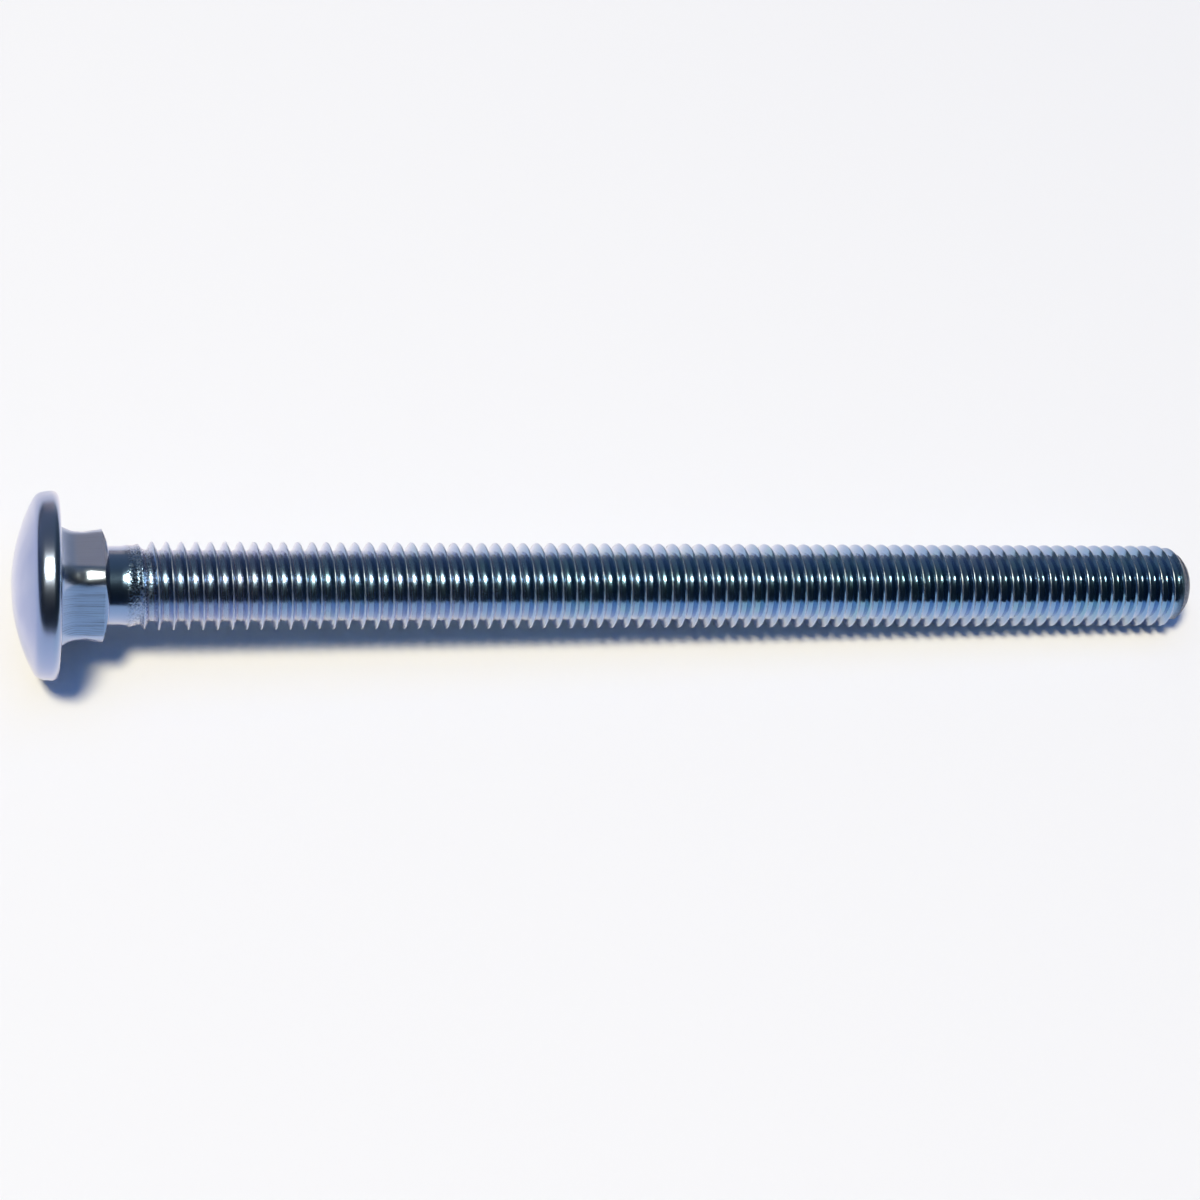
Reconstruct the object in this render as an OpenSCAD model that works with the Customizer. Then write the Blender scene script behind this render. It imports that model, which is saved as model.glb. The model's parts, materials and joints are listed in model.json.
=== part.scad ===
// Round-head square-neck bolt, 7/16 in with 14 threads to the inch, nominally 6 in long.
// The bolt lies on its side, with the rim of its head and its last threads on the ground.

/* [Head] */
// Diameter of the head
head_diameter = 23.4; // [21.5:0.1:25]
// Height of the head from its underside to the top of the dome
head_height = 5.65; // [4.6:0.05:7]
// Height on the rim at which the dome's ball would meet it
rim_thickness = 2.5; // [1.6:0.05:3]
// Radius of the rim's edge on the underside
rim_edge_radius = 0.85; // [0.2:0.05:0.9]
// Radius of the rounding between the rim and the dome
rim_dome_radius = 1.6; // [0.6:0.05:2]

/* [Square neck] */
// Width of the neck across two opposite flats
neck_width = 10.95; // [10.6:0.05:11.5]
// Radius of the neck's four long corners
neck_corner_radius = 1.7; // [0.8:0.1:2.4]
// Depth of the neck from the head's underside to the end of its bevel
neck_depth = 5.95; // [5:0.05:8]
// Length of the bevel that leads the neck down to the shank
neck_bevel = 0.7; // [0.3:0.05:1.2]
// How far the neck's flats flare out where they meet the head
flare_height = 0.7; // [0.3:0.05:1.1]
// Length of that flare along the neck
flare_length = 2.2; // [1:0.1:3]
// Turn of the neck about the bolt's axis, from a flat facing up
neck_turn = 24; // [0:1:90]

/* [Shank and thread] */
// Length from the head's underside to the end of the point
bolt_length = 151; // [60:0.1:200]
// Diameter of the rolled blank, left plain below the neck
blank_diameter = 9.9; // [9.4:0.05:10.2]
// Length from the head's underside to the start of the thread's run-out
plain_length = 8.1; // [7.8:0.1:20]
// Length over which the thread grows to its full depth
runout_length = 2.5; // [1.8:0.1:6]
// Diameter over the thread's crests
major_diameter = 10.98; // [10.6:0.01:11.1]
// Threads to the inch
threads_per_inch = 14; // [12:1:20]
// Place of the crests on the side that faces the ground, as a share of a pitch
crest_phase = 0.89; // [0:0.01:0.99]

/* [Point] */
// Length of the rounded point
point_length = 2.6; // [1.5:0.1:4]
// Diameter of the flat end of the point
point_diameter = 7.2; // [5:0.1:8.5]

/* [Hidden] */
$fn = 96;
inch = 25.4;
plating = "#b4bccb";

// The dome is part of a ball that passes through the rim and the top of the head.
rim_radius = head_diameter / 2;
dome_rise = head_height - rim_thickness;
dome_radius = (pow(rim_radius, 2) + pow(dome_rise, 2)) / (2 * dome_rise);
dome_centre = dome_radius - head_height;

// The rounding between them touches the rim and the ball from inside. The angle opens at the ball's centre.
dome_edge_centre = rim_radius - rim_dome_radius;
dome_edge_reach = dome_radius - rim_dome_radius;
dome_edge_height = dome_centre - sqrt(pow(dome_edge_reach, 2) - pow(dome_edge_centre, 2));
dome_edge_angle = asin(dome_edge_centre / dome_edge_reach);

// A rolled thread has 60 degree flanks between crests an eighth of a pitch wide and rounded roots.
pitch = inch / threads_per_inch;
depth_share = 0.6134;
thread_depth = depth_share * pitch;
crest_width = pitch / 8;
flank_width = thread_depth * tan(30);
root_width = pitch - crest_width - 2 * flank_width;
crest_radius = major_diameter / 2;
root_radius = crest_radius - thread_depth;
blank_radius = blank_diameter / 2;

// One pitch of the thread's outline, as steps along the axis and the radius at each.
profile_steps = [0, root_width, root_width + flank_width, root_width + flank_width + crest_width];
profile_radii = [root_radius, root_radius, crest_radius, crest_radius];
rows_a_turn = len(profile_steps);
sides = 16;

// The thread starts a little inside the plain shank. Its net begins two turns below the last crest there.
thread_overlap = 0.2;
seat_gap = 0.02;
thread_start = plain_length - thread_overlap;
first_crest = thread_start - (thread_start - crest_phase * pitch) % pitch;
first_row = first_crest - 2 * pitch - root_width - flank_width - crest_width / 2;
turns = ceil((bolt_length - first_row) / pitch) + 1;
last_row = rows_a_turn * turns;

// The point is rounded like part of a ball, from the crests down to its flat end.
point_radius = point_diameter / 2;
point_start = bolt_length - point_length;
ball_reach = (pow(crest_radius, 2) - pow(point_radius, 2) + pow(point_length, 2)) / (2 * point_length);
ball_radius = sqrt(pow(ball_reach, 2) + pow(point_radius, 2));

// At rest the rim's edge and the crests at the start of the point touch the ground.
rim_edge_centre = rim_radius - rim_edge_radius;
contact_span = point_start + rim_edge_radius;
contact_drop = rim_edge_centre - crest_radius;
contact_distance = norm([contact_span, contact_drop]);
rest_tilt = atan2(contact_drop, contact_span) + asin(rim_edge_radius / contact_distance);
axis_height = rim_edge_centre * cos(rest_tilt) + rim_edge_radius * (1 - sin(rest_tilt));
left_end = dome_centre * cos(rest_tilt) - dome_radius;
right_end = bolt_length * cos(rest_tilt) + point_radius * sin(rest_tilt);

// Outline of half the head: a sector of the dome's ball, the rim's two roundings and the disc between.
module head_outline() {
    sector_depth = 2 * head_height;
    intersection() {
        translate([0, dome_centre]) circle(r = dome_radius);
        polygon([
            [0, 0],
            [dome_centre * tan(dome_edge_angle), 0],
            [(dome_centre + sector_depth) * tan(dome_edge_angle), -sector_depth],
            [0, -sector_depth]
        ]);
    }
    translate([dome_edge_centre, dome_edge_height]) circle(r = rim_dome_radius);
    translate([rim_edge_centre, -rim_edge_radius]) circle(r = rim_edge_radius);
    polygon([
        [0, 0],
        [rim_edge_centre, 0],
        [rim_radius, -rim_edge_radius],
        [rim_radius, dome_edge_height],
        [dome_edge_centre, dome_edge_height],
        [0, dome_edge_height]
    ]);
}

module head() {
    rotate_extrude() head_outline();
}

// A square with round corners, across the flats by width.
module rounded_square(width, corner) {
    inner = width - 2 * corner;
    square([width, inner], center = true);
    square([inner, width], center = true);
    for (x = [-1, 1], y = [-1, 1]) translate([x, y] * inner / 2) circle(r = corner);
}

// A thin slice of the neck's flare, as wide as its concave curve is at this depth.
module flare_slice(depth) {
    share = 1 - depth / flare_length;
    grow = flare_height * pow(share, 2);
    slice = 0.02;
    end_inset = 0.04;
    translate([0, 0, depth - slice]) linear_extrude(slice)
        rounded_square(neck_width + 2 * grow - end_inset * (1 - share), neck_corner_radius, $fn = 32);
}

module neck_flare() {
    steps = 3;
    for (i = [0:steps - 1]) hull() {
        flare_slice(flare_length * i / steps);
        flare_slice(flare_length * (i + 1) / steps);
    }
}

// The neck is a square bar whose end is turned down to the shank.
module neck() {
    corner_reach = neck_width;
    shoulder_step = 0.05;
    shoulder_radius = blank_radius + shoulder_step;
    rotate(-neck_turn) {
        intersection() {
            translate([0, 0, -rim_thickness / 2]) linear_extrude(neck_depth + rim_thickness / 2)
                rounded_square(neck_width, neck_corner_radius);
            rotate_extrude() polygon([
                [0, -rim_thickness],
                [corner_reach, -rim_thickness],
                [corner_reach, neck_depth - neck_bevel * (corner_reach - shoulder_radius)
                    / (corner_radius_out() - shoulder_radius)],
                [shoulder_radius, neck_depth],
                [0, neck_depth]
            ]);
        }
        neck_flare();
    }
}

// Distance from the axis to the outside of a rounded corner of the neck.
function corner_radius_out() = (neck_width / 2 - neck_corner_radius) * sqrt(2) + neck_corner_radius;

module plain_shank() {
    cylinder(r = blank_radius, h = plain_length);
}

// Height along the axis of a point of the thread's net, held between the thread's two ends.
function helix_z(side, row) = first_row
    + pitch * (floor(row / rows_a_turn) + side / sides)
    + profile_steps[row % rows_a_turn];
function held_z(side, row) = min(max(helix_z(side, row), thread_start), bolt_length);

// Share of the full depth that the run-out has reached at a height.
function growth(z) = min(max((z - plain_length) / runout_length, 0), 1);

// Outside of the rounded point at a height.
function point_limit(z) = z <= point_start ? crest_radius
    : sqrt(pow(ball_radius, 2) - pow(z - bolt_length + ball_reach, 2));

function net_radius(row, z) = min(
    point_limit(z),
    blank_radius - seat_gap + growth(z) * (profile_radii[row % rows_a_turn] - blank_radius + seat_gap));

function net_point(side, row) =
    let (z = held_z(side, row), radius = net_radius(row, z), angle = 360 * side / sides)
    [radius * cos(angle), radius * sin(angle), z];

// The net is numbered row by row. Past the last side it closes one turn further on.
function net_index(side, row) = side < sides ? row * sides + side : (row + rows_a_turn) * sides;
function moves(side, row) = held_z(side, row + 1) > held_z(side, row);
function net_triangles(side, row) =
    let (
        next = side + 1,
        a = net_index(side, row),
        b = net_index(next, row),
        c = net_index(next, row + 1),
        d = net_index(side, row + 1)
    )
    concat(moves(next, row) ? [[a, c, b]] : [], moves(side, row) ? [[a, d, c]] : []);

module thread() {
    points = [for (row = [0:last_row + rows_a_turn], side = [0:sides - 1]) net_point(side, row)];
    walls = [for (row = [0:last_row - 1], side = [0:sides - 1]) each net_triangles(side, row)];
    start_cap = [for (side = [0:sides - 1]) net_index(side, 0)];
    end_cap = [for (side = [sides - 1:-1:0]) net_index(side, last_row)];
    polyhedron(points = points, faces = concat(walls, [start_cap, end_cap]), convexity = 10);
}

module lie_at_rest() {
    translate([-(left_end + right_end) / 2, 0, axis_height]) rotate([0, 90 + rest_tilt, 0]) children();
}

module carriage_bolt() {
    color(plating) lie_at_rest() {
        head();
        neck();
        plain_shank();
        thread();
    }
}

carriage_bolt();
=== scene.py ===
"""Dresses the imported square-neck bolt in its zinc plate, on a pale studio floor."""
import json
import math
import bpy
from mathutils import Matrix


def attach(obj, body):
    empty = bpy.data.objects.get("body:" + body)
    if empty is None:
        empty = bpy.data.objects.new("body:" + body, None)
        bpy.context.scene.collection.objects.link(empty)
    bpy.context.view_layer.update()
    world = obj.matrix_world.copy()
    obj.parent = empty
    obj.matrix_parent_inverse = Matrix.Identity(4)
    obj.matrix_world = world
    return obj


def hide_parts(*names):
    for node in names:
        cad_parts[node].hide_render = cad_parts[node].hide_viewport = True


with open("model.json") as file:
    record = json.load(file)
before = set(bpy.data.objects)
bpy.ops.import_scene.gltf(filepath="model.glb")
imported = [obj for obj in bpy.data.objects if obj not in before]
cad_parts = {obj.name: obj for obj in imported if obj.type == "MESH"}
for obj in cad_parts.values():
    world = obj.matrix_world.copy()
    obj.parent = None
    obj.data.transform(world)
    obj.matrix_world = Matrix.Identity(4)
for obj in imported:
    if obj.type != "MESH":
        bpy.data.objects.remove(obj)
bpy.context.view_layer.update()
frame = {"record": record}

from types import SimpleNamespace

import bpy
import numpy as np
from bpy.props import FloatProperty, FloatVectorProperty, IntProperty, PointerProperty
from bpy.types import Operator, Panel, PropertyGroup
from mathutils import Matrix, Vector

bl_info = {
    "name": "Square Neck Bolt",
    "version": (1, 0, 0),
    "blender": (4, 5, 0),
    "location": "View3D > Sidebar > Bolt",
    "description": "Makes a plated square-neck bolt with a rolled thread, and its studio",
    "category": "Add Mesh",
}

CAD_NODE = "carriage_bolt"
MOUNTS = {mount["name"]: mount for mount in frame["record"]["mounts"]}

# The bolt's own axis runs down from the head to the point. Its square neck starts at the head's underside.
NECK_DEPTH = MOUNTS["square_neck"]["dims"]["length_mm"] / 1000
CREST_RADIUS = MOUNTS["thread"]["dims"]["r_mm"] / 1000
AXIS = Vector(MOUNTS["square_neck"]["axis"]).normalized()
ACROSS = Vector((0, 1, 0))
UP = AXIS.cross(ACROSS)
UNDER_HEAD = Vector(MOUNTS["square_neck"]["pos_m"]) - AXIS * NECK_DEPTH / 2

# Rows of points from one end of each part of the outline to the other.
DOME_ROWS = 34
RIM_TURN_ROWS = 8
RIM_BAND_ROWS = 6
RIM_EDGE_ROWS = 10
UNDERSIDE_ROWS = 10
NECK_ROWS = 26
BEVEL_ROWS = 8
PLAIN_ROWS = 14
ROOT_ARC_ROWS = 4
POINT_ROWS = 12

# Points that agree to this many decimals of a metre become one.
MERGE_DECIMALS = 8

# The camera's frame, in the pixels of the photograph and in millimetres on the sensor.
FRAME_PIXELS = 1200
SENSOR_WIDTH = 36


class BoltSizes(PropertyGroup):
    """Sizes of the bolt that the frame doesn't state."""

    head_diameter: FloatProperty(
        name="Head Diameter", description="Diameter of the domed head", default=0.02338, unit="LENGTH")
    head_height: FloatProperty(
        name="Head Height", description="From the head's underside to the top of the dome",
        default=0.00563, unit="LENGTH")
    rim_thickness: FloatProperty(
        name="Rim Thickness", description="Height on the rim at which the dome's ball would meet it",
        default=0.0025, unit="LENGTH")
    rim_under_radius: FloatProperty(
        name="Rim Under Radius", description="Rounding of the rim's edge on the underside",
        default=0.00085, unit="LENGTH")
    rim_dome_radius: FloatProperty(
        name="Rim Dome Radius", description="Rounding between the rim and the dome",
        default=0.0016, unit="LENGTH")
    rim_lean: FloatProperty(
        name="Rim Lean", description="How far the rim's band leans towards the dome",
        default=math.radians(9), subtype="ANGLE")
    neck_width: FloatProperty(
        name="Neck Width", description="Width of the neck across two flats", default=0.01095, unit="LENGTH")
    neck_corner: FloatProperty(
        name="Neck Corner", description="Radius of the neck's long corners", default=0.0017, unit="LENGTH")
    neck_bevel: FloatProperty(
        name="Neck Bevel", description="Length of the bevel at the neck's end",
        default=0.0007, unit="LENGTH")
    flare_height: FloatProperty(
        name="Flare Height", description="How far the flats flare out at the head",
        default=0.0007, unit="LENGTH")
    flare_length: FloatProperty(
        name="Flare Length", description="Length of that flare along the neck",
        default=0.0022, unit="LENGTH")
    neck_waist: FloatProperty(
        name="Neck Waist",
        description="How far the neck sinks behind its flare, before it swells to its end",
        default=0.00015, unit="LENGTH")
    neck_facet: FloatProperty(
        name="Neck Facet",
        description="Half the width of the flat that the corners have near the neck's end",
        default=0.0008, unit="LENGTH")
    neck_turn: FloatProperty(
        name="Neck Turn", description="Turn of the neck from a flat facing up",
        default=math.radians(24), subtype="ANGLE")
    bolt_length: FloatProperty(
        name="Bolt Length", description="From the head's underside to the end of the point",
        default=0.15099, unit="LENGTH")
    blank_diameter: FloatProperty(
        name="Blank Diameter", description="Diameter of the plain shank", default=0.0099, unit="LENGTH")
    plain_length: FloatProperty(
        name="Plain Length", description="From the head's underside to the thread's run-out",
        default=0.0081, unit="LENGTH")
    runout_length: FloatProperty(
        name="Run-out Length", description="Length over which the thread grows to its full depth",
        default=0.0025, unit="LENGTH")
    lead_rise: FloatProperty(
        name="Lead Rise", description="Height of the low cone at the start of the run-out",
        default=0.00018, unit="LENGTH")
    lead_length: FloatProperty(
        name="Lead Length", description="Length of that cone", default=0.0012, unit="LENGTH")
    pitch: FloatProperty(
        name="Pitch", description="Distance from crest to crest", default=0.0254 / 14, unit="LENGTH")
    crest_phase: FloatProperty(
        name="Crest Phase",
        description="Place of the crests on the side facing down, as a share of the pitch",
        default=0.89)
    point_length: FloatProperty(
        name="Point Length", description="Length of the rounded point", default=0.0026, unit="LENGTH")
    point_diameter: FloatProperty(
        name="Point Diameter", description="Diameter of the point's flat end", default=0.0072, unit="LENGTH")
    thread_depth: FloatProperty(
        name="Thread Depth", description="Depth of the thread as a share of its pitch", default=0.6134)
    crest_width: FloatProperty(
        name="Crest Width", description="Width of a crest as a share of the pitch", default=0.10)
    crest_round: FloatProperty(
        name="Crest Rounding", description="Width of a crest's rounded edges as a share of the pitch",
        default=0.03)
    flank_angle: FloatProperty(
        name="Flank Angle", description="Lean of a flank from straight across the axis",
        default=math.radians(24), subtype="ANGLE")
    root_round: FloatProperty(
        name="Root Rounding", description="Radius at both sides of a root, as a share of the pitch",
        default=0.09)
    root_lean: FloatProperty(
        name="Root Lean", description="Lean of a root towards the head",
        default=math.radians(12), subtype="ANGLE")
    columns: IntProperty(
        name="Columns", description="Steps round the bolt", default=80, min=32, max=96)


class PlateLook(PropertyGroup):
    """Colours and finish of the zinc plate."""

    head_end: FloatVectorProperty(
        name="Head End", description="Colour of the plate near the head",
        default=(0.18, 0.31, 0.55), subtype="COLOR")
    base: FloatVectorProperty(
        name="Plate", description="Colour of the plate further down",
        default=(0.175, 0.36, 0.62), subtype="COLOR")
    teal: FloatVectorProperty(
        name="Teal Film", description="Greener places in the passivate",
        default=(0.19, 0.42, 0.56), subtype="COLOR")
    pink: FloatVectorProperty(
        name="Pink Film", description="Pinker places in the passivate",
        default=(0.30, 0.31, 0.52), subtype="COLOR")
    film: FloatVectorProperty(
        name="Dome Film", description="Thicker film on the dome",
        default=(0.30, 0.35, 0.61), subtype="COLOR")
    edge: FloatVectorProperty(
        name="Edge Tint", description="Tint of the plate seen at a low angle",
        default=(1.0, 0.90, 0.97), subtype="COLOR")
    # This dark colour also paints shade into the thread's roots, most strongly near the head.
    dark: FloatVectorProperty(
        name="Dark Marks", description="Colour in drawn lines, scuffs and roots",
        default=(0.07, 0.09, 0.14), subtype="COLOR")
    worn: FloatVectorProperty(
        name="Worn Plate", description="Colour of rubbed crests and scuffs",
        default=(0.60, 0.66, 0.82), subtype="COLOR")
    roughness: FloatProperty(
        name="Roughness", description="Roughness of the smooth plate", default=0.15, subtype="FACTOR")


class StudioLook(PropertyGroup):
    """The camera, the lights and the floor."""

    lens: FloatProperty(
        name="Lens", description="Focal length in millimetres on a 36 mm sensor", default=76.48)
    head_distance: FloatProperty(
        name="Head Distance", description="Depth from the camera to the head's underside",
        default=0.31309, unit="LENGTH")
    head_pixel: FloatVectorProperty(
        name="Head Pixel",
        description="Where the middle of the head's underside falls in a 1200 pixel frame",
        default=(58.25, 585.7), size=2)
    recede: FloatProperty(
        name="Recede", description="How far the axis turns away from the picture plane",
        default=math.radians(14.63), subtype="ANGLE")
    look_down: FloatProperty(
        name="Look Down", description="Turn about the bolt's axis from straight above to the camera",
        default=math.radians(31.5), subtype="ANGLE")
    picture_roll: FloatProperty(
        name="Picture Roll", description="Slope of the axis in the picture",
        default=math.radians(-0.09), subtype="ANGLE")
    lamp_up: FloatProperty(
        name="Lamp Up", description="Angle of the lamp above the camera, seen from the bolt",
        default=math.radians(19.9), subtype="ANGLE")
    lamp_left: FloatProperty(
        name="Lamp Left", description="Angle of the lamp left of the camera",
        default=math.radians(4.2), subtype="ANGLE")
    lamp_distance: FloatProperty(
        name="Lamp Distance", description="Distance from the bolt to the lamp", default=1.9, unit="LENGTH")
    lamp_size: FloatProperty(
        name="Lamp Size", description="Width of the square lamp", default=0.33, unit="LENGTH")
    lamp_power: FloatProperty(
        name="Lamp Power", description="Power of the lamp in watts", default=35.8)
    lamp_colour: FloatVectorProperty(
        name="Lamp Colour", description="Colour of the lamp", default=(1.0, 0.852, 0.572), subtype="COLOR")
    fill_height: FloatProperty(
        name="Fill Height", description="Height of the wide dim light overhead", default=2.6, unit="LENGTH")
    fill_size: FloatProperty(
        name="Fill Size", description="Width of the wide dim light overhead", default=3.0, unit="LENGTH")
    fill_power: FloatProperty(
        name="Fill Power", description="Power in watts of the wide dim light overhead", default=33.5)
    fill_colour: FloatVectorProperty(
        name="Fill Colour", description="Colour of the wide dim light overhead",
        default=(0.165, 0.375, 1.0), subtype="COLOR")
    floor: FloatVectorProperty(
        name="Floor", description="Colour of the floor", default=(0.86, 0.90, 0.95), subtype="COLOR")
    surround: FloatVectorProperty(
        name="Surround", description="Colour of the dim surroundings",
        default=(0.06, 0.08, 0.12), subtype="COLOR")


def mesh_object(name, points, triangles, uv=None):
    """An object at the origin from arrays of points and triangles, and a UV pair for each corner."""
    mesh = bpy.data.meshes.new(name)
    mesh.vertices.add(len(points))
    mesh.vertices.foreach_set("co", np.ascontiguousarray(points, dtype=np.float32).ravel())
    mesh.loops.add(triangles.size)
    mesh.loops.foreach_set("vertex_index", np.ascontiguousarray(triangles, dtype=np.int32).ravel())
    mesh.polygons.add(len(triangles))
    mesh.polygons.foreach_set("loop_start", np.arange(0, triangles.size, 3, dtype=np.int32))
    if uv is not None:
        layer = mesh.uv_layers.new(name="around_along")
        layer.data.foreach_set("uv", np.ascontiguousarray(uv, dtype=np.float32).ravel())
    mesh.update(calc_edges=True)
    mesh.validate()
    return linked_object(name, mesh)


def linked_object(name, data):
    """A new object in the scene that shows this mesh, light or camera."""
    made = bpy.data.objects.new(name, data)
    bpy.context.scene.collection.objects.link(made)
    return made


def smooth_step(share):
    """An S curve from 0 to 1: the share squared, times three less twice the share."""
    held = np.clip(share, 0, 1)
    return held**2 * (3 - 2 * held)


def fold_to_flat(angle):
    """The angle from the middle of the nearest of a square's four sides, from 0 to an eighth of a turn."""
    return np.abs((angle + np.pi / 4) % (np.pi / 2) - np.pi / 4)


def square_radius(angle, half, corner):
    """Distance from the axis to a square with round corners, at each angle.

    The angle is folded to the nearest flat. Where the edge is straight the distance is half over the cosine.
    Round the corner it solves the corner's circle, whose middle lies half less corner along both sides."""
    folded = fold_to_flat(angle)
    inner = half - corner
    flat = half / np.cos(folded)
    along = inner * (np.cos(folded) + np.sin(folded))
    across = inner * (np.cos(folded) - np.sin(folded))
    arc = along + np.sqrt(np.maximum(corner**2 - across**2, 0))
    return np.where(half * np.tan(folded) <= inner, flat, arc)


def faceted_radius(angle, half, facet):
    """Distance from the axis to a square whose corners are cut by flats, at each angle.

    It is the nearer of two straight lines, each at its own distance over a cosine: the side, and the flat,
    which lies across the diagonal and reaches as far to both sides of it as facet says."""
    folded = fold_to_flat(angle)
    return np.minimum(half / np.cos(folded), (half * math.sqrt(2) - facet) / np.cos(np.pi / 4 - folded))


def head_profile(sizes):
    """The head's outline from the middle of the dome to the edge of the underside, as heights and radii.

    The dome is an arc of the circle through its top and the rim. A smaller circle joins it to a band that
    leans towards the dome, and a quarter circle rounds the lower edge. The small circle's place is found in
    a few rounds, so that the band touches it and the quarter circle."""
    rim = sizes.head_diameter / 2
    rise = sizes.head_height - sizes.rim_thickness
    ball = (rim**2 + rise**2) / (2 * rise)
    ball_centre = ball - sizes.head_height
    edge = sizes.rim_dome_radius
    under = sizes.rim_under_radius
    lean = sizes.rim_lean
    edge_radius = rim - edge
    rounds = 4
    for _ in range(rounds):
        edge_height = ball_centre - math.sqrt((ball - edge) ** 2 - edge_radius**2)
        edge_radius = rim - under + (under - edge + (edge_height + under) * math.sin(lean)) / math.cos(lean)
    meeting = math.asin(edge_radius / (ball - edge))
    dome = np.linspace(0, meeting, DOME_ROWS)
    turn = np.linspace(meeting, np.pi / 2 - lean, RIM_TURN_ROWS)[1:]
    quarter = np.linspace(-lean, np.pi / 2, RIM_EDGE_ROWS)
    band = np.linspace(0, 1, RIM_BAND_ROWS)[1:-1]
    turn_height = edge_height - edge * np.cos(turn)
    turn_radius = edge_radius + edge * np.sin(turn)
    quarter_height = -under + under * np.sin(quarter)
    quarter_radius = rim - under + under * np.cos(quarter)
    height = np.concatenate([
        ball_centre - ball * np.cos(dome),
        turn_height,
        turn_height[-1] + (quarter_height[0] - turn_height[-1]) * band,
        quarter_height,
    ])
    radius = np.concatenate([
        ball * np.sin(dome),
        turn_radius,
        turn_radius[-1] + (quarter_radius[0] - turn_radius[-1]) * band,
        quarter_radius,
    ])
    return height, radius


def neck_half_width(sizes, height):
    """Half the neck's width at a height: a parabolic flare at the head, then a waist that ends in an S."""
    flare = np.clip(1 - height / sizes.flare_length, 0, 1) ** 2
    waist_length = NECK_DEPTH - sizes.neck_bevel - sizes.flare_length
    waist = 1 - smooth_step((height - sizes.flare_length) / waist_length)
    return sizes.neck_width / 2 + sizes.flare_height * flare - sizes.neck_waist * waist


def neck_side_radius(sizes, turned, height):
    """Distance from the axis to the neck's side, whose corners are round at the head and worn flat below.

    An S curve leads from the round square to the faceted one. The facets are wider at their start."""
    worn_start = 0.0021
    worn_ease = 0.0011
    wide_until = 0.0052
    wide_ease = 0.002
    wider = 0.00012
    half_width = neck_half_width(sizes, height)
    round_corner = square_radius(turned, half_width, sizes.neck_corner)
    worn = smooth_step((height - worn_start) / worn_ease)
    facet = sizes.neck_facet + wider * np.clip((wide_until - height) / wide_ease, 0, 1)
    return round_corner + (faceted_radius(turned, half_width, facet) - round_corner) * worn


def head_and_neck(sizes, angle):
    """Heights and radii of the rows from the dome's top to the thread, each row a ring of all the angles.

    The underside runs straight from the rim's circle to the rounded square of the neck. Each ring of the
    bevel lies a set share of the way from where the bevel cuts the neck's side, which differs from angle to
    angle, to the shank. The neck's rows are closer together at the head."""
    crowding = 1.15
    bevel_bulge = 0.00012
    turned = angle + sizes.neck_turn
    ones = np.ones_like(angle)
    blank = sizes.blank_diameter / 2
    profile_height, profile_radius = head_profile(sizes)
    heights = [profile_height[:, None] * ones]
    radii = [profile_radius[:, None] * ones]

    neck_foot = square_radius(turned, neck_half_width(sizes, np.array(0.0)), sizes.neck_corner)
    share = np.linspace(0, 1, UNDERSIDE_ROWS)[1:, None]
    heights.append(np.zeros((len(share), len(angle))))
    radii.append(profile_radius[-1] * (1 - share) + neck_foot * share)

    bevel_start = NECK_DEPTH - sizes.neck_bevel
    corner_reach = square_radius(np.array(np.pi / 4), sizes.neck_width / 2, sizes.neck_corner)
    plain_side = square_radius(turned, sizes.neck_width / 2, sizes.neck_corner)
    cut = (corner_reach - plain_side) / (corner_reach - blank)
    cut_height = bevel_start + sizes.neck_bevel * cut
    side = np.linspace(0, 1, NECK_ROWS)[1:, None] ** crowding
    heights.append(side * cut_height)
    radii.append(neck_side_radius(sizes, turned, heights[-1]))

    side_end = radii[-1][-1]
    bevel = np.linspace(0, 1, BEVEL_ROWS)[1:, None]
    bulge = bevel_bulge * np.sin(np.pi * bevel)
    heights.append(cut_height + (NECK_DEPTH - cut_height) * bevel)
    radii.append(side_end + (blank - side_end) * bevel + bulge * (side_end > blank))

    plain = np.linspace(0, 1, PLAIN_ROWS)[1:, None]
    heights.append(NECK_DEPTH + (sizes.plain_length - NECK_DEPTH) * plain * ones)
    radii.append(blank + lead_swell(sizes, heights[-1]))
    return np.concatenate(heights), np.concatenate(radii)


def lead_swell(sizes, height):
    """How far a low cone lifts the shank: a straight rise, half of it before the run-out, then level."""
    return sizes.lead_rise * np.clip((height - sizes.plain_length) / sizes.lead_length + 0.5, 0, 1)


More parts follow.
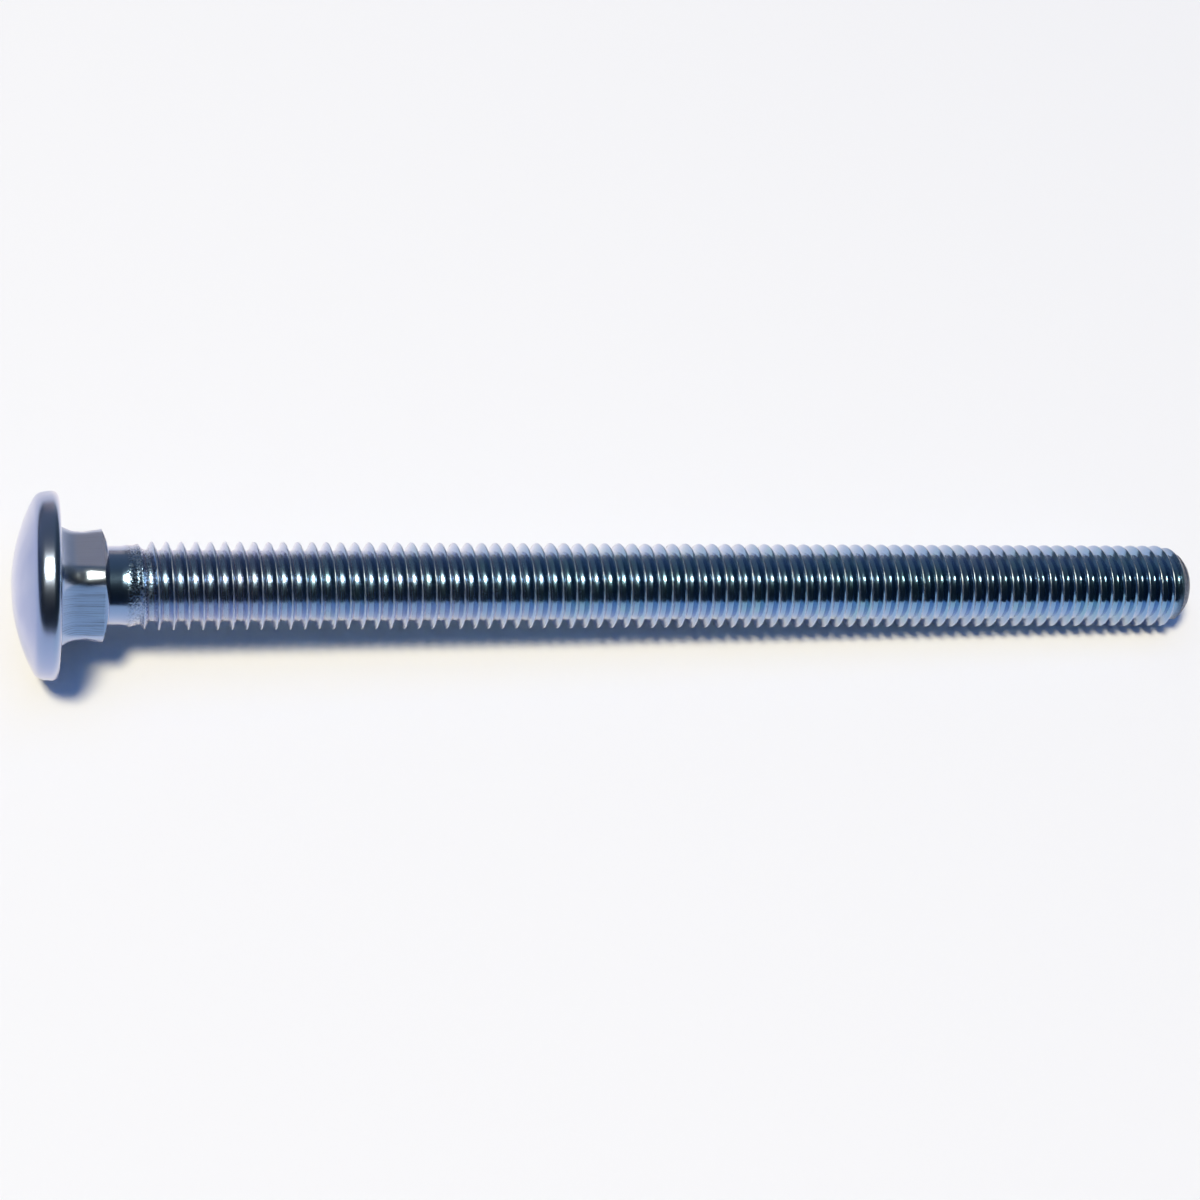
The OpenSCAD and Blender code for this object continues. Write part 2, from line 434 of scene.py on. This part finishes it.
def thread_profile(sizes):
    """One pitch of a rolled thread: steps along the axis from the middle of a root, and radii.

    A straight root, which rises a little away from the head, ends in two arcs that turn into the flanks. The
    crest is a low roof with rounded edges."""
    crest_drops = np.array([1.0, 0.2, 0.0, 0.2, 1.0])
    pitch = sizes.pitch
    depth = sizes.thread_depth * pitch
    round_off = sizes.crest_round * pitch
    half_crest = sizes.crest_width * pitch / 2
    half_root = pitch / 2 - half_crest - depth * math.tan(sizes.flank_angle)
    lean = np.pi / 2 - sizes.flank_angle
    arc = sizes.root_round * pitch
    arc_start = half_root - arc * math.tan(lean / 2)
    near_turn = np.linspace(0, lean, ROOT_ARC_ROWS)[::-1]
    near_step = -arc_start - arc * np.sin(near_turn)
    near_radius = CREST_RADIUS - depth + arc * (1 - np.cos(near_turn))
    far_turn = np.linspace(sizes.root_lean, lean, ROOT_ARC_ROWS)
    far_step = -near_step[0] - arc * (math.sin(lean) - np.sin(far_turn))
    rise = (far_step[0] + arc_start) * math.tan(sizes.root_lean)
    far_radius = CREST_RADIUS - depth + rise + arc * (math.cos(sizes.root_lean) - np.cos(far_turn))
    middle_step = [(far_step[0] - arc_start) / 2]
    middle_radius = [CREST_RADIUS - depth + rise / 2]
    inner = half_crest - round_off
    crest_step = pitch / 2 + np.array([-half_crest, -inner, 0, inner, half_crest])
    crest_radius = CREST_RADIUS - round_off * crest_drops
    step = np.concatenate([near_step, middle_step, far_step, crest_step])
    radius = np.concatenate([near_radius, middle_radius, far_radius, crest_radius])
    return step, radius


def thread_net(sizes, angle):
    """Heights and radii of the thread's rows, which climb one pitch in each turn of a right-hand helix.

    A row's height is its step plus the pitch times the share of a turn. Heights are held between the two
    ends of the thread. The run-out grows the profile from the blank by a square, and a ball rounds the
    point. The number of rows in a turn is returned too."""
    spare_turns = 2
    step, radius = thread_profile(sizes)
    pitch = sizes.pitch
    start, end = sizes.plain_length, sizes.bolt_length
    first = math.floor(start / pitch) - spare_turns
    turns = math.ceil(end / pitch) - first + spare_turns
    climb = (np.arange(turns)[:, None] + first - 0.5 + sizes.crest_phase) * pitch + step
    height = np.clip(climb.reshape(-1, 1) + pitch * angle / (2 * np.pi), start, end)
    profile = np.tile(radius, turns)[:, None]
    blank = sizes.blank_diameter / 2
    growth = np.clip((height - start) / sizes.runout_length, 0, 1)
    grown = blank + lead_swell(sizes, height) * (1 - growth) + (profile - blank) * growth**2

    point = sizes.point_diameter / 2
    length = sizes.point_length
    reach = (CREST_RADIUS**2 - point**2 + length**2) / (2 * length)
    ball = math.hypot(reach, point)
    limit = np.sqrt(np.maximum(ball**2 - (height - end + reach) ** 2, 0))
    limit = np.where(height > end - length, limit, CREST_RADIUS)
    return height, np.minimum(grown, limit), len(step)


def point_end(sizes, angle):
    """Heights and radii of the rings that close the point: a shallow parabola inside a flat edge."""
    dish_depth = 0.00025
    edge_share = 0.93
    share = np.linspace(1, 0, POINT_ROWS)[:, None]
    dish = dish_depth * (1 - share**2)
    dish[share > edge_share] = 0
    height = (sizes.bolt_length - dish) * np.ones_like(angle)
    radius = sizes.point_diameter / 2 * share * np.ones_like(angle)
    return height, radius


def net_faces(rows, columns, turn_rows):
    """Two triangles for each cell of a net, as numbers of its points, and a mark for each of their corners.

    The column after the last is the first one again, turn_rows further on, so that a helix closes on its
    next turn. The mark is 1 there and 0 elsewhere."""
    row, column = np.meshgrid(np.arange(rows - 1 - turn_rows), np.arange(columns), indexing="ij")
    near = row * columns + column
    far = np.where(column + 1 < columns, near + 1, (row + turn_rows) * columns)
    cells = np.stack([near, far, far + columns, near, far + columns, near + columns], axis=-1)
    wrapped = np.where(column + 1 < columns, 0, 1)
    zero = np.zeros_like(wrapped)
    closing = np.stack([zero, wrapped, wrapped, zero, wrapped, zero], axis=-1)
    return cells.reshape(-1, 3), closing.reshape(-1, 3)


def join_nets(nets, angle):
    """Joins nets of heights and radii into one closed surface in the bolt's own frame.

    Points that fall together are merged, and triangles that this makes empty are dropped. Returns the
    points, the triangles, and the share of a turn and the height at each corner."""
    columns = len(angle)
    points, faces, corners, offset = [], [], [], 0
    for height, radius, turn_rows in nets:
        x = radius * np.cos(angle)
        y = radius * np.sin(angle)
        points.append(np.stack([x, y, height], axis=-1).reshape(-1, 3))
        cells, closing = net_faces(len(height), columns, turn_rows)
        share = (cells % columns) / columns + closing
        corners.append(np.stack([share, height.reshape(-1)[cells]], axis=-1))
        faces.append(cells + offset)
        offset += height.size
    points = np.concatenate(points)
    faces = np.concatenate(faces)
    corners = np.concatenate(corners)
    rounded = np.round(points, MERGE_DECIMALS) + 0.0
    _, kept, merged = np.unique(rounded, axis=0, return_index=True, return_inverse=True)
    faces = merged.reshape(-1)[faces]
    full = (faces[:, 0] != faces[:, 1]) & (faces[:, 1] != faces[:, 2]) & (faces[:, 2] != faces[:, 0])
    return points[kept], faces[full], corners[full]


def lie_at_rest(points):
    """Places points from the bolt's own frame, whose first axis points down, in the row's frame."""
    turn = np.array([-UP, ACROSS, AXIS])
    return points @ turn + np.array(UNDER_HEAD)


class Nodes:
    """A new material, with short calls for building its nodes."""

    def __init__(self, name):
        self.material = bpy.data.materials.new(name)
        self.material.use_nodes = True
        self.tree = self.material.node_tree
        self.tree.nodes.clear()

    def give(self, socket, value):
        """Links a socket to the value if that is a socket too, and sets it otherwise."""
        if isinstance(value, bpy.types.NodeSocket):
            self.tree.links.new(value, socket)
        else:
            socket.default_value = value

    def add(self, kind, inputs=None, **settings):
        node = self.tree.nodes.new(kind)
        for key, value in settings.items():
            setattr(node, key, value)
        for key, value in (inputs or {}).items():
            self.give(node.inputs[key], value)
        return node

    def math(self, operation, first, second, third=0.0):
        return self.add("ShaderNodeMath", {0: first, 1: second, 2: third}, operation=operation).outputs[0]

    def times(self, first, second):
        return self.math("MULTIPLY", first, second)

    def mix(self, share, first, second):
        node = self.add("ShaderNodeMix", {"Factor": share}, data_type="RGBA")
        self.give(node.inputs[6], first)
        self.give(node.inputs[7], second)
        return node.outputs[2]

    def noise(self, vector, scale, detail, roughness):
        values = {"Vector": vector, "Scale": scale, "Detail": detail, "Roughness": roughness}
        return self.add("ShaderNodeTexNoise", values).outputs["Fac"]

    def ramp(self, value, low, high, at_low=0.0, at_high=1.0):
        """A straight line from at_low where the value is low to at_high where it is high, level outside."""
        values = {"Value": value, 1: low, 2: high, 3: at_low, 4: at_high}
        return self.add("ShaderNodeMapRange", values).outputs[0]

    def band(self, value, start, full, end, gone):
        """1 between full and end, falling to 0 at start and gone."""
        return self.times(self.ramp(value, start, full), self.ramp(value, end, gone, 1.0, 0.0))

    def finish(self, kind, inputs):
        """Puts a shader with these inputs on the surface, and returns the material."""
        shader = self.add(kind, inputs)
        output = self.add("ShaderNodeOutputMaterial")
        self.tree.links.new(shader.outputs[0], output.inputs[0])
        return self.material


def rgba(colour):
    return (*colour, 1.0)


def plate_places(nodes, sizes, own, around, along):
    """Where the marks and the roots' painted shade lie: for each place a value from 0 outside it to 1
    inside.

    The places are ranges of height along the axis and of distance from it, in metres, with soft ends. The
    flat of the neck that faces up and a little to the back has hardly any drawn lines."""
    flat = nodes.add("ShaderNodeMapping", {"Vector": own, "Scale": (0.0, 1.0, 1.0)}).outputs[0]
    radius = nodes.add("ShaderNodeVectorMath", {0: flat}, operation="LENGTH").outputs["Value"]
    rim_radius = sizes.head_diameter / 2
    corner_reach = (sizes.neck_width / 2 - sizes.neck_corner) * math.sqrt(2) + sizes.neck_corner
    runout_start = sizes.plain_length
    runout_end = sizes.plain_length + sizes.runout_length
    neck = nodes.band(along, 0.0002, 0.0005, NECK_DEPTH - 0.0007, NECK_DEPTH - 0.0004)
    flats = nodes.times(neck, nodes.ramp(radius, corner_reach - 0.0006, corner_reach - 0.0003, 1.0, 0.0))
    rear_flat = nodes.band(around, 0.30, 0.34, 0.53, 0.56)
    thread = nodes.ramp(along, runout_end - 0.001, runout_end)
    near_root = nodes.ramp(radius, CREST_RADIUS - 0.00112, CREST_RADIUS - 0.00085, 1.0, 0.0)
    near_crest = nodes.ramp(radius, CREST_RADIUS - 0.00010, CREST_RADIUS - 0.00002)
    return SimpleNamespace(
        dome=nodes.ramp(along, -0.0012, -0.0006, 1.0, 0.0),
        rim=nodes.ramp(radius, rim_radius - 0.0009, rim_radius - 0.0003),
        neck=neck,
        corners=nodes.math("SUBTRACT", neck, flats),
        drawn=nodes.times(flats, nodes.ramp(rear_flat, 0.0, 1.0, 1.0, 0.15)),
        scuffed=nodes.band(
            along, runout_start - 0.0002, runout_start + 0.0003, runout_end + 0.0001, runout_end + 0.0009),
        thread=thread,
        root=nodes.times(thread, near_root),
        crest=nodes.times(thread, near_crest),
        point=nodes.ramp(along, sizes.bolt_length - 0.0022, sizes.bolt_length - 0.0012),
    )


def plate_patterns(nodes, sizes, own, wrap, around, along):
    """Noises, each with its scale, detail and roughness: drawn lines, grain, speckle, films and streaks.

    The streaks run round the thread and climb with it: a pitch for each turn is taken from their height."""
    streaks_a_turn = 14.0
    streaks_a_metre = 7000.0
    stretched = nodes.add("ShaderNodeMapping", {"Vector": wrap, "Scale": (1.0, 0.25, 0.0)}).outputs[0]
    climb = nodes.math("SUBTRACT", along, nodes.times(around, sizes.pitch))
    streak_place = nodes.add("ShaderNodeCombineXYZ", {
        0: nodes.times(around, streaks_a_turn),
        1: nodes.times(climb, streaks_a_metre),
    }).outputs[0]
    return SimpleNamespace(
        lines=nodes.noise(stretched, 260.0, 4.0, 0.75),
        grain=nodes.noise(own, 9000.0, 3.0, 0.6),
        speckle=nodes.noise(own, 3400.0, 2.0, 0.6),
        film=nodes.noise(own, 260.0, 3.0, 0.6),
        cloud=nodes.noise(own, 150.0, 2.0, 0.5),
        soft_film=nodes.noise(own, 70.0, 2.0, 0.5),
        streak=nodes.noise(streak_place, 1.0, 3.0, 0.6),
    )


def plate_colour(nodes, look, place, pattern, along):
    """The plate's colour: one tone at the head and one further down, under layers that each hide a share;
    one layer is painted shade in the thread's roots.
    """
    times, ramp = nodes.times, nodes.ramp
    far_share = ramp(along, 0.0, 0.06)
    off_neck = ramp(place.neck, 0.0, 1.0, 1.0, 0.0)
    low_angle = nodes.add("ShaderNodeLayerWeight", {"Blend": 0.5}).outputs["Facing"]
    layers = (
        (times(ramp(pattern.film, 0.50, 0.72), far_share), look.teal),
        (times(ramp(pattern.soft_film, 0.50, 0.80, 0.0, 0.3), off_neck), look.pink),
        (nodes.math("POWER", low_angle, 1.9), look.edge),
        (times(place.dome, ramp(pattern.cloud, 0.38, 0.62, 0.36, 0.74)), look.film),
        (times(place.rim, 0.12), look.worn),
        # Painted shade: the thread's roots are mixed towards the dark colour, a fifth of the way near the
        # head and a twentieth further down.
        (times(place.root, ramp(along, 0.05, 0.13, 0.20, 0.05)), look.dark),
        (times(place.corners, 0.45), look.worn),
        (times(place.drawn, ramp(pattern.lines, 0.47, 0.38, 0.0, 0.8)), look.dark),
        (times(place.scuffed, ramp(pattern.speckle, 0.50, 0.38, 0.0, 0.4)), look.dark),
        (times(place.scuffed, ramp(pattern.speckle, 0.57, 0.66, 0.0, 0.5)), look.worn),
        (times(place.crest, ramp(pattern.speckle, 0.30, 0.60, 0.1, 0.7)), look.worn),
        (times(place.point, ramp(pattern.speckle, 0.42, 0.60, 0.98, 0.75)), look.dark),
    )
    colour = nodes.mix(far_share, rgba(look.head_end), rgba(look.base))
    for share, tint in layers:
        colour = nodes.mix(share, colour, rgba(tint))
    return colour


def plate_roughness(nodes, look, place, pattern, along):
    """The plate's roughness: grain about its mean, less towards the point, and a change for each place."""
    grain_range = 0.10
    rough = nodes.math("MULTIPLY_ADD", pattern.grain, grain_range, look.roughness - grain_range / 2)
    rough = nodes.math("ADD", rough, nodes.ramp(along, 0.0, 0.14, 0.04, -0.05))
    scuffs = nodes.times(place.scuffed, nodes.ramp(pattern.speckle, 0.47, 0.55))
    changes = (
        (scuffs, 0.12),
        (place.neck, 0.12),
        (place.crest, 0.17),
        (place.point, 0.32),
        (place.rim, 0.045),
        (place.root, nodes.ramp(along, 0.05, 0.13, 0.08, 0.02)),
        (place.thread, nodes.ramp(pattern.streak, 0.35, 0.65, -0.04, 0.06)),
    )
    for share, change in changes:
        rough = nodes.math("ADD", rough, nodes.times(share, change))
    return rough


def plate_height(nodes, place, pattern):
    """Height in metres of the finest relief: drawn lines, speckle in scuffs and point, grain, streaks."""
    speckled = nodes.math("MAXIMUM", place.scuffed, place.point)
    height = nodes.times(nodes.times(pattern.lines, place.drawn), 0.000012)
    for relief in (
        nodes.times(nodes.times(pattern.speckle, speckled), 0.000075),
        nodes.times(pattern.grain, nodes.ramp(place.rim, 0.0, 1.0, 0.000003, 0.000006)),
        nodes.times(nodes.times(pattern.streak, place.thread), 0.000005),
    ):
        height = nodes.math("ADD", height, relief)
    return height


def zinc_plate_material(look, sizes):
    """Bright zinc with a clear bluish passivate, drawn lines on the neck and a scuffed run-out.

    Its own frame is the object's, turned and moved so that the bolt's axis is the first axis. The UV map
    holds the share of a turn and the height along the axis."""
    nodes = Nodes("zinc_plate")
    coordinates = nodes.add("ShaderNodeTexCoord").outputs
    tilt = math.asin(-AXIS.z)
    moved = Matrix.Rotation(-tilt, 3, "Y") @ UNDER_HEAD
    values = {"Vector": coordinates["Object"], "Location": tuple(-moved), "Rotation": (0, -tilt, 0)}
    own = nodes.add("ShaderNodeMapping", values).outputs[0]
    wrap = coordinates["UV"]
    around, along = nodes.add("ShaderNodeSeparateXYZ", {0: wrap}).outputs[:2]
    place = plate_places(nodes, sizes, own, around, along)
    pattern = plate_patterns(nodes, sizes, own, wrap, around, along)
    height = plate_height(nodes, place, pattern)
    bump = nodes.add("ShaderNodeBump", {"Height": height, "Strength": 1.0, "Distance": 1.0})
    return nodes.finish("ShaderNodeBsdfPrincipled", {
        "Base Color": plate_colour(nodes, look, place, pattern, along),
        "Metallic": 1.0,
        "Roughness": plate_roughness(nodes, look, place, pattern, along),
        "Normal": bump.outputs[0],
    })


def floor_material(look):
    """Plain pale paper."""
    nodes = Nodes("pale_paper")
    return nodes.finish("ShaderNodeBsdfDiffuse", {"Color": rgba(look.floor), "Roughness": 0.3})


def canopy_material():
    """A dark room: black round the camera, dim grey overhead and at the back, darker on the right."""
    nodes = Nodes("dark_room")
    across, upward = nodes.add(
        "ShaderNodeSeparateXYZ", {0: nodes.add("ShaderNodeTexCoord").outputs["UV"]}).outputs[:2]
    levels = nodes.add("ShaderNodeValToRGB", {0: upward})
    stops = (
        (0.0, (0.012, 0.018, 0.028)),
        (0.28, (0.014, 0.018, 0.023)),
        (0.42, (0.028, 0.036, 0.043)),
        (0.58, (0.062, 0.077, 0.090)),
        (0.70, (0.12, 0.14, 0.16)),
        (1.0, (0.17, 0.20, 0.235)),
    )
    elements = levels.color_ramp.elements
    for position, _ in stops[1:-1]:
        elements.new(position)
    for element, (_, level) in zip(elements, stops):
        element.color = rgba(level)
    right_share = nodes.ramp(across, 0.57, 0.64, 0.0, 0.55)
    colour = nodes.mix(right_share, levels.outputs[0], rgba((0.025, 0.035, 0.037)))
    return nodes.finish("ShaderNodeEmission", {"Color": colour, "Strength": 1.0})


def backdrop_material():
    """A dim wall far behind the bolt, warm and lighter behind the head and darker towards both ends."""
    nodes = Nodes("dim_wall")
    across = nodes.add(
        "ShaderNodeSeparateXYZ", {0: nodes.add("ShaderNodeTexCoord").outputs["UV"]}).outputs[0]
    colour = rgba((0.12, 0.13, 0.14))
    for start, end, level in (
        (0.41, 0.47, (0.52, 0.42, 0.37)),
        (0.525, 0.57, (0.26, 0.30, 0.34)),
        (0.60, 0.66, (0.11, 0.14, 0.17)),
    ):
        colour = nodes.mix(nodes.ramp(across, start, end), colour, rgba(level))
    return nodes.finish("ShaderNodeEmission", {"Color": colour, "Strength": 1.0})


def make_floor(look):
    """The floor: one wide square at the height of the ground."""
    half = 6.0
    corners = np.array([[-half, -half, 0], [half, -half, 0], [half, half, 0], [-half, half, 0]])
    floor = mesh_object("floor", corners, np.array([[0, 1, 2], [0, 2, 3]]))
    floor.data.materials.append(floor_material(look))
    return floor


def make_canopy():
    """The dark room: part of a tube along the bolt, from the camera's side over the top to the back."""
    radius = 3.0
    half_width = 6.0
    far_edge = math.radians(163)
    rows = 73
    sweep = np.linspace(0, far_edge, rows)
    ring, side = np.meshgrid(sweep, np.array([-half_width, half_width]), indexing="ij")
    shell = np.stack([side, -radius * np.cos(ring), radius * np.sin(ring)], axis=-1).reshape(-1, 3)
    first = np.arange(len(sweep) - 1) * 2
    faces = np.concatenate([
        np.stack([first, first + 1, first + 3], axis=-1),
        np.stack([first, first + 3, first + 2], axis=-1),
    ])
    share = np.repeat(sweep / far_edge, 2)
    uv = np.stack([(shell[:, 0] + half_width) / (2 * half_width), share], axis=-1)[faces]
    canopy = mesh_object("canopy", shell, faces, uv)
    canopy.data.materials.append(canopy_material())
    canopy.visible_camera = False
    canopy.visible_shadow = False
    return canopy


def make_backdrop():
    """The dim wall: an upright strip behind the bolt, which the camera sees in reflections only."""
    half, behind, top = 4, 2.8, 0.9
    corners = np.array([[-half, behind, 0], [half, behind, 0], [half, behind, top], [-half, behind, top]])
    uv = np.array([[0, 0], [1, 0], [1, 1], [0, 1.0]])
    faces = np.array([[0, 2, 1], [0, 3, 2]])
    backdrop = mesh_object("backdrop", corners, faces, uv[faces])
    backdrop.data.materials.append(backdrop_material())
    backdrop.visible_camera = False
    return backdrop


def make_light(name, place, size, power, colour):
    """A square area light, facing down, with its width, its power in watts and its colour."""
    data = bpy.data.lights.new(name, "AREA")
    data.shape = "SQUARE"
    data.size = size
    data.energy = power
    data.color = colour
    light = linked_object(name, data)
    light.location = place
    return light


def make_camera(look, right, down, forward, place):
    """The scene's camera, at a place and with the directions of its picture."""
    data = bpy.data.cameras.new("camera")
    data.lens = look.lens
    data.sensor_width = SENSOR_WIDTH
    data.clip_start = 0.01
    data.clip_end = 50
    camera = linked_object("camera", data)
    camera.matrix_world = Matrix((
        (right.x, -down.x, -forward.x, place.x),
        (right.y, -down.y, -forward.y, place.y),
        (right.z, -down.z, -forward.z, place.z),
        (0, 0, 0, 1),
    ))
    bpy.context.scene.camera = camera


def camera_frame(look):
    """The directions right, down and forward of the camera and its place, in the row's frame.

    The bolt's axis has a known direction in the camera's own frame, and the head's underside a known place.
    The direction straight up from the axis is the one that lies look_down away from the camera, seen along
    the axis."""
    half_bolt = 0.075
    centre = FRAME_PIXELS / 2
    focal = look.lens / SENSOR_WIDTH * FRAME_PIXELS
    turn = look.recede
    roll = look.picture_roll
    axis = Vector((math.cos(turn) * math.cos(roll), math.cos(turn) * math.sin(roll), math.sin(turn)))
    pixel = look.head_pixel
    head = Vector(((pixel[0] - centre) / focal, (pixel[1] - centre) / focal, 1.0)) * look.head_distance
    middle = head + axis * half_bolt
    towards = -middle
    towards = (towards - axis * towards.dot(axis)).normalized()
    lift = towards.cross(axis)
    lift = lift if lift.y < 0 else -lift
    up = towards * math.cos(look.look_down) + lift * math.sin(look.look_down)
    across = up.cross(axis)
    own = Matrix((axis, across, up))
    row = Matrix((AXIS, ACROSS, UP)).transposed()
    turn_to_row = row @ own
    place = UNDER_HEAD - turn_to_row @ head
    right, down, forward = (turn_to_row @ Vector(v) for v in ((1, 0, 0), (0, 1, 0), (0, 0, 1)))
    return right, down, forward, place


class BOLT_OT_body(Operator):
    """Makes the bolt's plated surface, from the dome to the point, in place of its solid"""

    bl_idname = "bolt.body"
    bl_label = "Bolt"

    def execute(self, context):
        sizes = context.scene.bolt_sizes
        angle = np.arange(sizes.columns) * 2 * np.pi / sizes.columns
        nets = [(*head_and_neck(sizes, angle), 0), thread_net(sizes, angle), (*point_end(sizes, angle), 0)]
        points, faces, corners = join_nets(nets, angle)
        bolt = mesh_object("plated_bolt", lie_at_rest(points), faces, corners)
        bolt.data.polygons.foreach_set("use_smooth", np.ones(len(faces), dtype=bool))
        bolt.data.set_sharp_from_angle(angle=math.radians(50))
        bolt.data.materials.append(zinc_plate_material(context.scene.plate_look, sizes))
        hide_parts(CAD_NODE)
        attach(bolt, "root")
        return {"FINISHED"}


class BOLT_OT_stage(Operator):
    """Makes the floor, the dark room, the dim wall, the two lights, the surroundings and the camera"""

    bl_idname = "bolt.stage"
    bl_label = "Studio"

    def execute(self, context):
        look = context.scene.studio_look
        right, down, forward, place = camera_frame(look)
        floor = make_floor(look)
        canopy = make_canopy()
        backdrop = make_backdrop()

        middle = Vector((0, 0, 0.008))
        to_camera = (place - middle).normalized()
        beam = (to_camera - down * math.tan(look.lamp_up) - right * math.tan(look.lamp_left)).normalized()
        lamp_place = middle + beam * look.lamp_distance
        lamp = make_light("lamp", lamp_place, look.lamp_size, look.lamp_power, look.lamp_colour)
        lamp.rotation_mode = "QUATERNION"
        lamp.rotation_quaternion = (-beam).to_track_quat("-Z", "Y")
        fill_place = (0, 0, look.fill_height)
        fill = make_light("fill", fill_place, look.fill_size, look.fill_power, look.fill_colour)
        fill.visible_glossy = False

        world = bpy.data.worlds.new("surroundings")
        context.scene.world = world
        world.use_nodes = True
        background = world.node_tree.nodes["Background"]
        background.inputs["Color"].default_value = rgba(look.surround)
        background.inputs["Strength"].default_value = 1.0

        make_camera(look, right, down, forward, place)
        context.scene.view_settings.view_transform = "Standard"
        return {"FINISHED"}


class BOLT_PT_panel(Panel):
    """Lists the bolt's sizes, its finish and the studio"""

    bl_idname = "BOLT_PT_panel"
    bl_label = "Square Neck Bolt"
    bl_space_type = "VIEW_3D"
    bl_region_type = "UI"
    bl_category = "Bolt"

    def draw(self, context):
        for title, group, operator in (
            ("Bolt", context.scene.bolt_sizes, "bolt.body"),
            ("Zinc plate", context.scene.plate_look, None),
            ("Studio", context.scene.studio_look, "bolt.stage"),
        ):
            box = self.layout.box()
            box.label(text=title)
            for name in group.__annotations__:
                box.prop(group, name)
            if operator:
                box.operator(operator)


CLASSES = (BoltSizes, PlateLook, StudioLook, BOLT_OT_body, BOLT_OT_stage, BOLT_PT_panel)


def register():
    for cls in CLASSES:
        bpy.utils.register_class(cls)
    bpy.types.Scene.bolt_sizes = PointerProperty(type=BoltSizes)
    bpy.types.Scene.plate_look = PointerProperty(type=PlateLook)
    bpy.types.Scene.studio_look = PointerProperty(type=StudioLook)


def unregister():
    for name in ("bolt_sizes", "plate_look", "studio_look"):
        delattr(bpy.types.Scene, name)
    for cls in reversed(CLASSES):
        bpy.utils.unregister_class(cls)


def main():
    register()
    bpy.ops.bolt.body()
    bpy.ops.bolt.stage()


if __name__ == "__main__":
    main()
